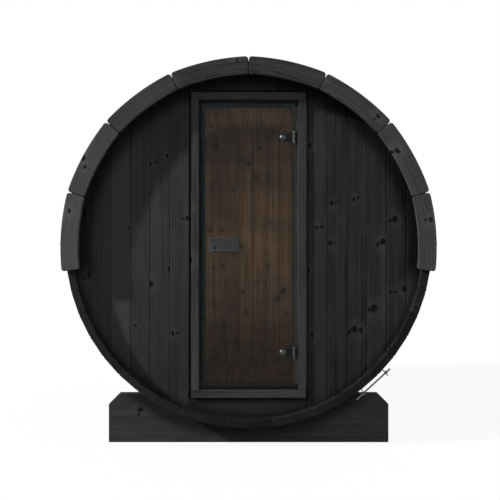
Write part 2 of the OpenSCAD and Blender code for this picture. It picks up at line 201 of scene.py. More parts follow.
def feed(shader, **wires):
    """Links varying values to the shader's sockets, named with _ for a space."""
    for name, wire in wires.items():
        wire.tree.links.new(wire.socket, shader.inputs[name.replace("_", " ")])


def bump(height, strength, distance):
    inputs = {"Height": height, "Strength": strength, "Distance": distance}
    return height.make("ShaderNodeBump", None, inputs)


print("helpers", new_finish.__name__, feed.__name__, bump.__name__)

# %% [markdown]
# ## Knots
# A knot is where a branch left the trunk. Knots lie scattered over a board, and a saw that meets one
# at a slant leaves a dark core with a dash beside it. Cells of a Voronoi texture give the scattered
# places, and the random colour of each cell decides whether it has a knot, how ragged that knot is
# and on which side the dash lies.


# %% Draw the knots
def knots(grain, per_metre, chance, core, reach):
    """Knots at scattered points: dark cores with slanted dashes, and the zones where the grain bends."""
    scatter = grain.stretch(*per_metre, 0.0)
    inputs = {"Vector": scatter, "Scale": 1.0, "Randomness": 0.9}
    points = scatter.make("ShaderNodeTexVoronoi", {"voronoi_dimensions": "2D"}, inputs)
    outputs = points.socket.node.outputs
    draws = points.make("ShaderNodeSeparateColor", None, {0: Wire(grain.tree, outputs["Color"])})
    first, second, third = (Wire(grain.tree, socket) for socket in draws.socket.node.outputs)
    pair = {0: scatter, 1: Wire(grain.tree, outputs["Position"])}
    offset = scatter.make("ShaderNodeVectorMath", {"operation": "SUBTRACT"}, pair)
    metres = offset.stretch(1 / per_metre[0], 1 / per_metre[1], 0.0)
    split = metres.make("ShaderNodeSeparateXYZ", None, {0: metres}).socket.node.outputs
    along, across = (Wire(grain.tree, socket) for socket in split[:2])
    beside = across.calc("ABSOLUTE", across)
    ragged = grain.stretch(70.0, 70.0, 0.0).noise(1.0, 2.0, 0.6) * 1.2 + third * 1.1 + 0.1
    away = along.calc("SQRT", along * along * 0.5 + across * across) * ragged
    slanted = along - beside * (third - 0.5) * 0.9 - across * (second - 0.65) * 0.8
    line = 1 - (slanted.calc("ABSOLUTE", slanted) * ragged).step(core * 0.25, core * 0.75)
    span = beside.step(core * 0.9, core * 1.4) * (1 - beside.step(core * 1.8, core * 2.7))
    one_side = (across * (third - 0.5) * 60.0 + 0.5).clamp()
    lucky = first.step(1 - chance, 1.04 - chance)
    heart = 1 - away.step(core * 0.45, core)
    dashes = line * span * one_side * second.step(0.25, 0.4)
    zone = 1 - away.step(core, reach)
    return (heart + dashes).clamp() * lucky, zone * lucky


print("pattern", knots.__name__)

# %% [markdown]
# ## Wood
# Every board carries an attribute named grain: how far a point lies along, across and through its
# board, moved by a different amount for each board. One wood recipe then serves straight staves and
# curved fascia boards alike. Growth rings are a triangle wave bent by noise, with narrow dark lines,
# and fibres are long thin noise. Knots push the rings aside.


# %% Draw the grain
def wood_pattern(wire, knot_chance, rings_per_metre):
    """The parts of the wood pattern: rings, fibres, streaks, blotches, knot hearts and knot zones."""
    grain = wire.make("ShaderNodeAttribute", {"attribute_name": "grain"}, output="Vector")
    parts = grain.make("ShaderNodeSeparateXYZ", None, {0: grain})
    across = Wire(wire.tree, parts.socket.node.outputs[1])
    heart, zone = knots(grain, (2.8, 9.0), knot_chance, 0.0160, 0.060)
    drift = grain.stretch(0.7, 5.0, 5.0).noise(1.0, 3.0, 0.55)
    rings = (across * rings_per_metre + drift * 10.0 + zone * 2.2).wave().step(0.0, 0.6)
    fibres = grain.stretch(14.0, 700.0, 700.0).noise(1.0, 2.0, 0.6).step(0.28, 0.72)
    streaks = grain.stretch(1.1, 90.0, 90.0).noise(1.0, 3.0, 0.6).step(0.30, 0.70)
    blotches = grain.stretch(2.5, 9.0, 9.0).noise(1.0, 3.0, 0.6).step(0.30, 0.70)
    return rings, fibres, streaks, blotches, heart, zone


print("pattern", wood_pattern.__name__)

# %% [markdown]
# ## Painted shade
# Shade is painted into the stain where light is blocked: on an end wall under the fascia and in the
# corner at the staves, and on a cradle close under the barrel. An end wall also has painted shade
# towards its foot. All of these places follow the barrel, so each mask is worked out from a point's
# distance to the barrel's axis, and no picture has to be painted.


# %% Find the places of painted shade
def from_axis(wire):
    """How far a point lies beside and above the barrel's axis, and straight away from it."""
    place = wire.make("ShaderNodeTexCoord", output="Object")
    pair = {0: place, 1: (0, 0, AXIS_Z)}
    centred = place.make("ShaderNodeVectorMath", {"operation": "SUBTRACT"}, pair)
    parts = centred.make("ShaderNodeSeparateXYZ", None, {0: centred}).socket.node.outputs
    upright = centred.stretch(1, 0, 1)
    away = upright.make("ShaderNodeVectorMath", {"operation": "LENGTH"}, {0: upright}, "Value")
    return Wire(wire.tree, parts[0]), Wire(wire.tree, parts[2]), away


def wall_painted_shade(wire):
    """Up to 1 where painted shade darkens an end wall: under the fascia, in the corner at the staves, at
    its foot.
    """
    _, height, away = from_axis(wire)
    under_fascia = away.step(0.85, 0.93) * height.step(-0.22, -0.10)
    corner = away.step(0.945, 0.985)
    # Painted shade: the wall gets darker towards its foot.
    foot_shade = 1 - height.step(-0.9, 0.0)
    return (under_fascia + corner * 0.45 + foot_shade * 0.35).clamp()


def cradle_painted_shade(wire):
    """Up to 1 where painted shade darkens a cradle: close under the barrel, and less on its sunlit left
    side.
    """
    beside, _, away = from_axis(wire)
    close = 1 - away.step(BARREL_R + 0.03, BARREL_R + 0.14)
    left_side = 1 - beside.step(-0.35, 0.05)
    return (close + left_side * 0.43).clamp()


print("masks", wall_painted_shade.__name__, cradle_painted_shade.__name__)

# %% [markdown]
# ## Stained wood
# Black stain lets the grain through and greys in sun and rain. Sawn ends soak up the most of it. The
# fascia and the door frame are of coarser wood, with wider rings, and have greyed the most. All of
# these come from one function, so that the boards still look cut from the same trees.


# %% Mix the stained finishes
def stained_wood(name, dark, light, tone_share, figure_share, roughness,
                 rings_per_metre=95.0, ring_share=0.20, shaded_by=None):
    """Black stain that lets the grain through. Some boards take it cooler and some warmer."""
    material, shader, wire = new_finish(name, {"Specular IOR Level": 0.06})
    rings, fibres, streaks, blotches, heart, zone = wood_pattern(wire, 0.5, rings_per_metre)
    tone = wire.make("ShaderNodeAttribute", {"attribute_name": "tone"}, output="Fac")
    figure = (rings - 0.68) * ring_share + fibres * 0.25 + streaks * 0.34 + blotches * 0.26
    spread = (figure - 0.42) * figure_share + (tone - 0.5) * tone_share
    shade = (spread + zone * 0.18 - heart * 0.85 + 0.48).clamp()
    settings = {"noise_dimensions": "1D"}
    hue = tone.make("ShaderNodeTexWhiteNoise", settings, {"W": tone}) * 0.7 + blotches * 0.3
    cool = shade.blend([part * tint for part, tint in zip(dark, (0.93, 0.99, 1.07))],
                       [part * tint for part, tint in zip(light, (0.97, 1.00, 1.03))])
    warm = shade.blend([part * tint for part, tint in zip(dark, (1.04, 1.02, 0.93))],
                       [part * tint for part, tint in zip(light, (1.03, 1.00, 0.96))])
    colour = hue.blend(cool, warm)
    # shaded_by paints shade into the colour by blending it towards black.
    if shaded_by:
        colour = (shaded_by(wire) * 0.73).blend(colour, (0, 0, 0))
    feed(shader, Base_Color=colour)
    feed(shader, Roughness=(fibres * 0.16 + streaks * 0.12 + roughness).clamp())
    relief = rings * 0.30 + fibres * 0.30 + streaks * 0.35 - heart * 0.8
    feed(shader, Normal=bump(relief, 0.30, 0.0011))
    return material


# The wall stain carries painted shade under the fascia, in the corner at the staves and towards the foot.
wall_stain_and_shade = stained_wood("wall_stain_and_shade", (0.0024,) * 3, (0.046,) * 3, 0.40, 0.75, 0.50, shaded_by=wall_painted_shade)
board_stain = stained_wood("board_stain", (0.0024,) * 3, (0.046,) * 3, 0.40, 0.75, 0.50)
# The cradle's stain is lighter than the boards' as painted light on its shaded right end, and painted shade
# darkens it close under the barrel and on its sunlit left side.
cradle_stain_and_light = stained_wood("cradle_stain_and_light", (0.0036,) * 3, (0.070,) * 3, 0.40, 0.75, 0.50,
                            shaded_by=cradle_painted_shade)
# A pale stain that stands for sunlight on the stop beside the hinges: painted light.
painted_sunlit_stain = stained_wood("painted_sunlit_stain", (0.05,) * 3, (0.20,) * 3, 0.70, 0.5, 0.48)
grip_stain = stained_wood("grip_stain", (0.0060,) * 3, (0.090,) * 3, 0.70, 0.35, 0.48)
end_stain = stained_wood("end_stain", (0.0010,) * 3, (0.0165,) * 3, 1.00, 0.9, 0.60)
trim_stain = stained_wood("trim_stain", (0.0060,) * 3, (0.090,) * 3, 0.70, 0.5, 0.48,
                          rings_per_metre=64.0, ring_share=0.40)
STAINS = (wall_stain_and_shade, board_stain, cradle_stain_and_light, painted_sunlit_stain, grip_stain, end_stain, trim_stain)
print("finishes", [stain.name for stain in STAINS])

# %% [markdown]
# ## Bare wood
# Nothing is painted on the wood inside a sauna, because it gets hot. The boards are warm brown, with
# darker streaks, and their knots show more than those under stain.


# %% Mix the bare finish
def bare_wood(name, dark, middle, light):
    """Unstained softwood inside the cabin, warm brown with darker streaks and knots."""
    material, shader, wire = new_finish(name, {"Specular IOR Level": 0.15})
    rings, fibres, streaks, blotches, heart, zone = wood_pattern(wire, 0.8, 95.0)
    tone = wire.make("ShaderNodeAttribute", {"attribute_name": "tone"}, output="Fac")
    figure = rings * 0.20 + fibres * 0.20 + streaks * 0.95 + blotches * 0.34
    base = (figure + tone * 0.9 - 0.90).clamp().blend(middle, light)
    feed(shader, Base_Color=(heart * 0.9 + zone * 0.25).clamp().blend(base, dark))
    feed(shader, Roughness=(fibres * 0.2 + 0.5).clamp())
    feed(shader, Normal=bump(rings * 0.4 + fibres * 0.4 - heart * 0.4, 0.25, 0.001))
    return material


cabin_wood = bare_wood("cabin_wood", (0.05, 0.034, 0.022), (0.19, 0.127, 0.078), (0.48, 0.35, 0.235))
print("finish", cabin_wood.name)

# %% [markdown]
# ## Felt and metal
# Roof felt is covered in stone granules, so it sparkles in tiny specks and varies from tab to tab.
# The hoops, the hinge knuckles and the domed caps are brushed steel, and the rods and nuts are zinc
# plated. The plates of the hinges are painted black, and the drip edges are dark painted sheet.


# %% Mix felt and metal
def granule_felt():
    material, shader, wire = new_finish("granule_felt", {"Specular IOR Level": 0.05})
    place = wire.make("ShaderNodeTexCoord", output="Object")
    tone = wire.make("ShaderNodeAttribute", {"attribute_name": "tone"}, output="Fac")
    granules = place.noise(900.0, 2.0, 0.7)
    stains = place.noise(7.0, 4.0, 0.6)
    shade = (granules.step(0.42, 0.68) * 0.55 + stains * 0.30 + tone * 0.28 - 0.14).clamp()
    feed(shader, Base_Color=shade.blend((0.008, 0.0085, 0.0095), (0.075, 0.077, 0.080)))
    feed(shader, Roughness=(0.98 - granules * 0.25).clamp())
    feed(shader, Normal=bump(granules, 0.6, 0.0015))
    return material


def brushed_metal(name, dark, light, metallic, roughness, lines):
    material, shader, wire = new_finish(name, {"Metallic": metallic, "Specular IOR Level": 0.1})
    place = wire.make("ShaderNodeTexCoord", output="Object")
    brush = place.stretch(*lines).noise(1.0, 2.0, 0.6)
    smudge = place.noise(14.0, 3.0, 0.6)
    feed(shader, Base_Color=(brush * 0.5 + smudge * 0.5).clamp().blend(dark, light))
    feed(shader, Roughness=(brush * 0.15 + smudge * 0.2 + roughness).clamp())
    feed(shader, Normal=bump(brush, 0.12, 0.0004))
    return material


felt = granule_felt()
zinc = brushed_metal("zinc", (0.20, 0.21, 0.22), (0.38, 0.39, 0.40), 0.3, 0.40, (300, 300, 300))
steel = brushed_metal("brushed_steel", (0.03,) * 3, (0.09,) * 3, 1.0, 0.22, (40, 900, 900))
black_sheet = brushed_metal("black_sheet", (0.003,) * 3, (0.010,) * 3, 0.0, 0.35, (30, 4, 30))
dark_sheet = brushed_metal("dark_sheet", (0.016, 0.016, 0.017), (0.040, 0.040, 0.041), 0.2, 0.42,
                           (30, 4, 30))
print("finishes", felt.name, zinc.name, steel.name, black_sheet.name, dark_sheet.name)

# %% [markdown]
# ## Bronze glass
# The door is tinted through its whole thickness, so light is coloured on its way in and out. Dried
# steam leaves faint level bands on it. The refraction is set a little weaker than in real glass,
# which keeps the bright studio's reflection as faint as it is in the photograph.


# %% Mix the glass
def tinted_glass():
    constants = {"Transmission Weight": 1.0, "IOR": 1.26, "Specular Tint": (0.68, 0.86, 1.0, 1)}
    material, shader, wire = new_finish("bronze_glass", constants)
    place = wire.make("ShaderNodeTexCoord", output="Object")
    haze = place.stretch(2.0, 1.0, 9.0).noise(1.0, 3.0, 0.55)
    feed(shader, Base_Color=haze.step(0.32, 0.68).blend((0.41, 0.315, 0.195), (0.54, 0.395, 0.235)))
    feed(shader, Roughness=(haze * 0.02).clamp())
    return material


glass = tinted_glass()
print("finish", glass.name)

# %% [markdown]
# ## Helpers for boards
# A piece of boards is one mesh in which each board is an island of vertices. The helper finds the
# islands and gives every board its own stretch of the wood pattern and its own tone, from a number
# worked out from where the board is, so that each run gives the same boards.

# %% Make helpers for boards
LONG_X = Vector((1, 0, 0))
LONG_Y = Vector((0, 1, 0))
LONG_Z = Vector((0, 0, 1))
BOARD_SEED = 5.0


def board_number(centre):
    """A number from 0 to 1 that only depends on where a board is, to the millimetre."""
    x, y, z = (round(part * 1000 + 0.237) for part in centre)
    return abs(math.sin(x * 0.0917 + y * 0.0373 + z * 0.0571 + BOARD_SEED) * 43758.5) % 1.0


def islands(bm):
    """The vertices of each separate board, in the order in which they were made."""
    bm.verts.ensure_lookup_table()
    bm.verts.index_update()
    seen = [False] * len(bm.verts)
    for start in bm.verts:
        if seen[start.index]:
            continue
        seen[start.index] = True
        group = [start]
        for vert in group:
            for edge in vert.link_edges:
                other = edge.other_vert(vert)
                if not seen[other.index]:
                    seen[other.index] = True
                    group.append(other)
        yield group


def straight_grain(long):
    """Grain that runs along one axis of the frame."""
    if long is LONG_Y:
        return lambda point, centre: Vector((point.y, point.x - centre.x, point.z - centre.z))
    if long is LONG_X:
        return lambda point, centre: Vector((point.x, point.z - centre.z, point.y - centre.y))
    return lambda point, centre: Vector((point.z, point.x - centre.x, point.y - centre.y))


def add_grain(bm, grain_of, tone_of=None):
    """Writes each board's grain coordinates and tone."""
    grain = bm.verts.layers.float_vector.new("grain")
    tone = bm.verts.layers.float.new("tone")
    for group in islands(bm):
        places = zip(*(vert.co for vert in group))
        centre = Vector([math.fsum(parts) / len(group) for parts in places])
        number = board_number(centre)
        move = Vector((number * 17.0, (number * 53.0) % 1.0 * 3.0, (number * 29.0) % 1.0))
        shade = tone_of(centre) if tone_of else 0.25 + 0.5 * ((number * 71.0) % 1.0)
        for vert in group:
            vert[grain] = grain_of(vert.co, centre) + move
            vert[tone] = shade


print("helpers", islands.__name__, straight_grain.__name__, add_grain.__name__)

# %% [markdown]
# ## Helpers for pieces
# A finished piece is a mesh at the origin that rides on its body and stands for one node. Where the
# solid already has the right form, the piece starts as a copy of it with its triangles joined to
# whole faces, and what it still lacks is the softness of worked edges.


# %% Make helpers for pieces
def finish_piece(bm, name, body, slot, materials, *nodes):
    """Turns a bmesh into a piece that rides on a body and stands for its nodes."""
    mesh = bpy.data.meshes.new(name)
    bm.to_mesh(mesh)
    bm.free()
    for material in materials:
        mesh.materials.append(material)
    piece = bpy.data.objects.new(name, mesh)
    bpy.context.collection.objects.link(piece)
    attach(piece, body)
    if nodes:
        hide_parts(*nodes)
    print("made", name, len(mesh.polygons), "faces")
    return piece


def node_copy(node):
    """A bmesh copy of a node with its loose triangles merged and its flat faces whole."""
    bm = bmesh.new()
    bm.from_mesh(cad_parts[node].data)
    bmesh.ops.remove_doubles(bm, verts=bm.verts, dist=1e-5)
    bmesh.ops.dissolve_limit(bm, angle_limit=math.radians(1.0), verts=bm.verts, edges=bm.edges)
    return bm


def ease_edges(bm, width, steps, sharper_than=25.0, only=None):
    """Rounds the edges that are sharper than an angle."""
    sharp = [edge for edge in bm.edges
             if len(edge.link_faces) == 2
             and edge.calc_face_angle() > math.radians(sharper_than)
             and (only is None or only(edge))]
    bmesh.ops.bevel(bm, geom=sharp, offset=width, offset_type="OFFSET", segments=steps, profile=0.5,
                    affect="EDGES", material=-1, clamp_overlap=True)


print("helpers", finish_piece.__name__, node_copy.__name__, ease_edges.__name__)

# %% [markdown]
# ## One stave
# The barrel is coopered from 48 staves. One stave is shaped from a cube: its inner face is narrower
# than its outer face, and its long edges are eased so that two neighbours meet in a small V. The
# edges of its ends are broken a little. Cuts at the end walls separate the bare wood of the cabin
# from the ends, which have soaked up more stain.

# %% Shape one stave
STAVE_EASE = 0.0050
END_EASE = 0.0022
GROUP = STAVE_COUNT // 8
half_out = BARREL_R * math.tan(STAVE_TURN / 2)
half_in = INNER_R * math.tan(STAVE_TURN / 2)


def one_stave():
    """The lowest stave, centred under the axis."""
    bm = bmesh.new()
    bmesh.ops.create_cube(bm, size=1.0)
    bmesh.ops.scale(bm, vec=(2 * half_out, REAR_Y - FRONT_Y, STAVE_T), verts=bm.verts)
    upper = [vert for vert in bm.verts if vert.co.z > 0]
    bmesh.ops.scale(bm, vec=(half_in / half_out, 1, 1), verts=upper)
    bmesh.ops.translate(bm, vec=(0, 0, AXIS_Z - BARREL_R + STAVE_T / 2), verts=bm.verts)
    long_edges = [edge for edge in bm.edges if abs(edge.verts[0].co.y - edge.verts[1].co.y) > 1.0]
    bmesh.ops.bevel(bm, geom=long_edges, offset=STAVE_EASE, segments=2, profile=0.5, affect="EDGES",
                    material=-1)
    end_edges = [edge for edge in bm.edges
                 if any(abs(face.normal.y) > 0.9 for face in edge.link_faces)
                 and any(abs(face.normal.x) > 0.9 for face in edge.link_faces)]
    bmesh.ops.bevel(bm, geom=end_edges, offset=END_EASE, segments=1, profile=0.5, affect="EDGES",
                    material=-1)
    for cut in (wall_low.y, back_high.y):
        everything = [*bm.verts, *bm.edges, *bm.faces]
        bmesh.ops.bisect_plane(bm, geom=everything, plane_co=(0, cut, 0), plane_no=(0, 1, 0))
    inside = AXIS_Z - INNER_R - STAVE_EASE * 1.1
    for face in bm.faces:
        middle = face.calc_center_median()
        if middle.z > inside and wall_low.y < middle.y < back_high.y:
            face.material_index = 1
        elif middle.z > inside or abs(face.normal.y) > 0.5:
            face.material_index = 2
    mesh = bpy.data.meshes.new("one_stave")
    bm.to_mesh(mesh)
    bm.free()
    return mesh


stave_mesh = one_stave()
print("one stave", len(stave_mesh.polygons), "faces")

# %% [markdown]
# ## Barrel
# The stave is copied round the axis, a group at a time, as the frame's nodes are grouped. Each copy
# has its own stretch of the grain. The staves on the left, the weather side, have greyed outdoors.

# %% Turn the staves round the axis
STAVE_NODES = ("right_floor_staves", "right_low_staves", "right_high_staves", "right_roof_staves",
               "left_roof_staves", "left_high_staves", "left_low_staves", "left_floor_staves")
for group, node in enumerate(STAVE_NODES):
    bm = bmesh.new()
    grain = bm.verts.layers.float_vector.new("grain")
    tone = bm.verts.layers.float.new("tone")
    for place in range(group * GROUP, (group + 1) * GROUP):
        before = len(bm.verts)
        bm.from_mesh(stave_mesh)
        bm.verts.ensure_lookup_table()
        verts = bm.verts[before:]
        number = (place * 0.61803) % 1.0
        weather_side = max(0.0, -math.sin((place + 0.5) * STAVE_TURN))
        for vert in verts:
            height = vert.co.z - AXIS_Z + BARREL_R
            outdoors = height < STAVE_T / 2 or not wall_low.y - 1e-4 < vert.co.y < back_high.y + 1e-4
            vert[grain] = Vector((vert.co.y + number * 31.0, vert.co.x + number * 7.0, height))
            vert[tone] = 0.3 + 0.4 * ((number * 71.0) % 1.0) + (0.60 * weather_side if outdoors else 0.0)
        turn = Matrix.Rotation(-(place + 0.5) * STAVE_TURN, 3, "Y")
        bmesh.ops.rotate(bm, cent=AXIS, matrix=turn, verts=verts)
    finish_piece(bm, node.replace("staves", "stave_boards"), CABIN, "stained_boards",
                 (board_stain, cabin_wood, end_stain), node)
bpy.data.meshes.remove(stave_mesh)

# %% [markdown]
# ## Boarded end walls
# An end wall is a disc of upright boards that lock together with a V joint. Each board is cut from a
# disc by two upright planes while it is still flat, then pushed to its thickness, so its ends follow
# the barrel's curve by themselves. The outer face and the joints are stained, and the face in the
# cabin is bare.

# %% Cut a wall board
BOARD_EASE = 0.0055
DISC_STEPS = 160
BOARD_W = 0.1125
PALEST_X = -0.73
OPENING_X = node_box("front_wall_over_door")[1].x


def wall_board(bm, planes, outer_y, inner_y, bare_side):
    """Adds one board: a disc cut by planes, pushed from its outer to its inner face."""
    board = bmesh.new()
    bmesh.ops.create_circle(board, cap_ends=True, segments=DISC_STEPS, radius=WALL_R)
    bmesh.ops.rotate(board, matrix=Matrix.Rotation(math.pi / 2, 3, "X"), verts=board.verts)
    bmesh.ops.translate(board, vec=(0, outer_y, AXIS_Z), verts=board.verts)
    for point, normal in planes:
        everything = [*board.verts, *board.edges, *board.faces]
        bmesh.ops.bisect_plane(board, geom=everything, plane_co=point, plane_no=normal, clear_outer=True)
    pushed = bmesh.ops.extrude_face_region(board, geom=board.faces[:])["geom"]
    moved = [item for item in pushed if isinstance(item, bmesh.types.BMVert)]
    bmesh.ops.translate(board, vec=(0, inner_y - outer_y, 0), verts=moved)
    bmesh.ops.recalc_face_normals(board, faces=board.faces)
    cuts = [Vector(normal) for point, normal in planes]
    joints = [edge for edge in board.edges
              if any(abs(face.normal.y) > 0.9 for face in edge.link_faces)
              and any(face.normal.dot(cut) > 0.99 for face in edge.link_faces for cut in cuts)]
    bmesh.ops.bevel(board, geom=joints, offset=BOARD_EASE, segments=2, profile=0.5, affect="EDGES",
                    material=-1)
    for face in board.faces:
        if face.normal.y * bare_side > 0.7:
            face.material_index = 1
    part = bpy.data.meshes.new("wall_board")
    board.to_mesh(part)
    board.free()
    bm.from_mesh(part)
    bpy.data.meshes.remove(part)


def upright_board(bm, left, right, outer_y, inner_y, bare_side):
    planes = [((left, 0, 0), (-1, 0, 0)), ((right, 0, 0), (1, 0, 0))]
    wall_board(bm, [p for p in planes if abs(p[0][0]) < WALL_R], outer_y, inner_y, bare_side)


print(f"boards of {BOARD_W:.4f} m in a wall of radius {WALL_R:.4f} m")

# %% [markdown]
# ## Front wall
# Boards stand on both sides of the door from its opening outward, and one board lies over the door
# and one under it. The nearer a board on the left is to the rim, the lighter it is, as painted light
# in the fascia's shadow.


# %% Board the front wall
def wall_tone_and_light(centre):
    """Left boards are lighter than right ones, more so towards the rim as painted light; one left board is
    paler wood.
    """
    spread = board_number(centre) * 71.0 % 1.0
    if centre.x < 0:
        palest = 0.6 if abs(centre.x - PALEST_X) < BOARD_W / 2 else 0.0
        # Towards the rim the left boards are lighter as painted light where the fascia's shadow falls.
        return 0.24 + 1.05 * abs(centre.x) + 0.25 * spread + palest
    # Right of the door, the boards nearest the opening are lighter.
    return 0.08 + 0.8 * max(0.0, 0.6 - centre.x) + 0.25 * spread


for side, node in ((-1, "front_wall_left"), (1, "front_wall_right")):
    bm = bmesh.new()
    near = OPENING_X
    while near < WALL_R - BOARD_EASE:
        far = min(near + BOARD_W, WALL_R + BOARD_W)
        left, right = sorted((side * near, side * far))
        upright_board(bm, left, right, wall_low.y, wall_high.y, 1)
        near = far
    add_grain(bm, straight_grain(LONG_Z), wall_tone_and_light)
    finish_piece(bm, node + "_boards", CABIN, "stained_boards", (wall_stain_and_shade, cabin_wood), node)

for side, node in ((1, "front_wall_over_door"), (-1, "front_wall_under_door")):
    low, high = node_box(node)
    edge_z = low.z if side > 0 else high.z
    bm = bmesh.new()
    planes = [((-OPENING_X, 0, 0), (-1, 0, 0)), ((OPENING_X, 0, 0), (1, 0, 0)),
              ((0, 0, edge_z), (0, 0, -side))]
    wall_board(bm, planes, wall_low.y, wall_high.y, 1)
    add_grain(bm, straight_grain(LONG_X), lambda centre: 0.6 if side > 0 else 0.15)
    finish_piece(bm, node + "_board", CABIN, "stained_boards", (wall_stain_and_shade, cabin_wood), node)

# %% [markdown]
# ## Back wall
# The back wall has no door, so its boards run right across. One joint lies a little to the right of
# the axis, as the photograph shows through the glass, and the others follow from it.

# %% Board the back wall
BACK_JOINT_X = 0.029
bm = bmesh.new()
for board in range(-10, 10):
    left = BACK_JOINT_X + board * BOARD_W
    if left < WALL_R - BOARD_EASE and left + BOARD_W > BOARD_EASE - WALL_R:
        upright_board(bm, left, left + BOARD_W, back_high.y, back_low.y, -1)
add_grain(bm, straight_grain(LONG_Z))
finish_piece(bm, "back_wall_boards", CABIN, "stained_boards", (wall_stain_and_shade, cabin_wood), "back_wall")

# %% [markdown]
# ## Arched fascia
# The fascia hides the stave ends and the roof's edge. Its boards are cut to a curve that is a little
# flatter than the barrel, with rounded corners. The solid already has that outline, so the piece is a
# merged copy of it with eased edges. Its grain follows the curve: along is the angle times the
# radius, across is the distance from the axis.

# %% Ease the fascia boards
FASCIA_EASE = 0.004


def curved_grain(point, centre):
    """Grain that runs round the barrel's axis, measured from the middle of the board."""
    middle = math.atan2(centre.x, centre.z - AXIS_Z)
    angle = math.atan2(point.x, point.z - AXIS_Z) - middle
    away = math.hypot(point.x, point.z - AXIS_Z)
    return Vector((angle * BARREL_R, away - BARREL_R, point.y))


def fascia_tone(centre):
    """The boards low on the arch have weathered lighter than those at its top."""
    height = (centre.z - AXIS_Z) / BARREL_R
    if centre.x < 0:
        return 0.74 - 0.60 * height * height
    return 0.46 - 0.26 * height * height


for node in ("front_fascia_left", "front_fascia_right", "rear_fascia_left", "rear_fascia_right"):
    bm = node_copy(node)
    ease_edges(bm, FASCIA_EASE, 3, 40.0)
    add_grain(bm, curved_grain, fascia_tone)
    finish_piece(bm, node + "_boards", CABIN, "stained_trim", (trim_stain,), node)

# %% [markdown]
# ## Door frame and cradles
# These are sawn and planed timbers with their real rebates and curves in the solids. What the solids
# lack is the softness of planed timber, so merged copies get eased edges and grain along each timber.
# The stop that the glass closes against is given the darker board stain as painted shade behind the
# glass, and on the hinge side a pale stain as painted sunlight.

# %% Ease the frame and the cradles
REVEAL = 0.004
SUNLIT_JAMB = "frame_right_jamb"
TIMBERS = (
    ("frame_left_jamb", 0.0022, LONG_Z, trim_stain, "stained_trim", 0.34),
    ("frame_right_jamb", 0.0022, LONG_Z, trim_stain, "stained_trim", 0.26),
    ("frame_head", 0.0022, LONG_X, trim_stain, "stained_trim", 0.34),
    ("frame_sill", 0.0022, LONG_X, trim_stain, "stained_trim", 0.28),
    ("front_cradle", 0.0045, LONG_X, cradle_stain_and_light, "stained_boards", 0.80),
    ("rear_cradle", 0.0045, LONG_X, cradle_stain_and_light, "stained_boards", 0.50),
)
for node, width, long, material, slot, tone in TIMBERS:
    bm = node_copy(node)
    front = min(vert.co.y for vert in bm.verts)
    ease_edges(bm, width, 2)
    add_grain(bm, straight_grain(long), lambda centre: tone)
    for face in bm.faces:
        if face.normal.y < -0.9 and face.calc_center_median().y > front + REVEAL:
            face.material_index = 1
    # Set-back stop faces get the darker board stain as painted shade, and on the hinge side the pale stain
    # as painted sunlight.
    stop_light_and_shade = painted_sunlit_stain if node == SUNLIT_JAMB else board_stain
    finish_piece(bm, node + "_timber", CABIN, slot, (material, stop_light_and_shade), node)

# %% [markdown]
# ## One shingle
# The upper half is covered with felt shingles over a thin underlay. A tab is a small plate with its
# lower corners cut off. It is shaped flat here, and the underlay is a strip spun over the barrel.

# %% Shape a shingle
ROOF_IN = (roof_high.x - roof_low.x) / 2 - 0.006
COURSE = 0.148
TAB_W = 0.2333
TAB_LONG = 0.20
TAB_T = 0.0022
TAB_GAP = 0.004
TAB_CORNER = 0.055
UNDERLAY_T = 0.0012


def flat_tab():
    """One tab in the plane: x along the barrel, y up the slope from its lower edge."""
    bm = bmesh.new()
    bmesh.ops.create_grid(bm, x_segments=1, y_segments=5, size=0.5)
    bmesh.ops.scale(bm, vec=(TAB_W - TAB_GAP, TAB_LONG, 1), verts=bm.verts)
    bmesh.ops.translate(bm, vec=(0, TAB_LONG / 2, 0), verts=bm.verts)
    low_corners = [vert for vert in bm.verts if vert.co.y < 1e-6]
    bmesh.ops.bevel(bm, geom=low_corners, offset=TAB_CORNER, offset_type="OFFSET", segments=1, profile=0.5,
                    affect="VERTICES", material=-1, clamp_overlap=True)
    pushed = bmesh.ops.extrude_face_region(bm, geom=bm.faces[:])["geom"]
    moved = [item for item in pushed if isinstance(item, bmesh.types.BMVert)]
    bmesh.ops.translate(bm, vec=(0, 0, TAB_T), verts=moved)
    bmesh.ops.recalc_face_normals(bm, faces=bm.faces)
    mesh = bpy.data.meshes.new("flat_tab")
    bm.to_mesh(mesh)
    bm.free()
    return mesh


def underlay(bm):
    """The felt under the tabs: a strip spun over the upper half of the barrel."""
    low = bm.verts.new((ROOF_IN, roof_low.y, AXIS_Z))
    high = bm.verts.new((ROOF_IN, roof_high.y, AXIS_Z))
    edge = bm.edges.new((low, high))
    bmesh.ops.spin(bm, geom=[low, high, edge], cent=AXIS, axis=(0, 1, 0), angle=-math.pi, steps=72)
    bmesh.ops.recalc_face_normals(bm, faces=bm.faces)
    bmesh.ops.solidify(bm, geom=bm.faces[:], thickness=-UNDERLAY_T)


tab_mesh = flat_tab()
print("one shingle", len(tab_mesh.polygons), "faces")

# %% [markdown]
# ## Roof shingles
# The courses run along the barrel, each shifted by half a tab against the one below. Every tab is
# wrapped round the barrel so that its upper edge tucks under the next course and its lower edge
# stands proud.

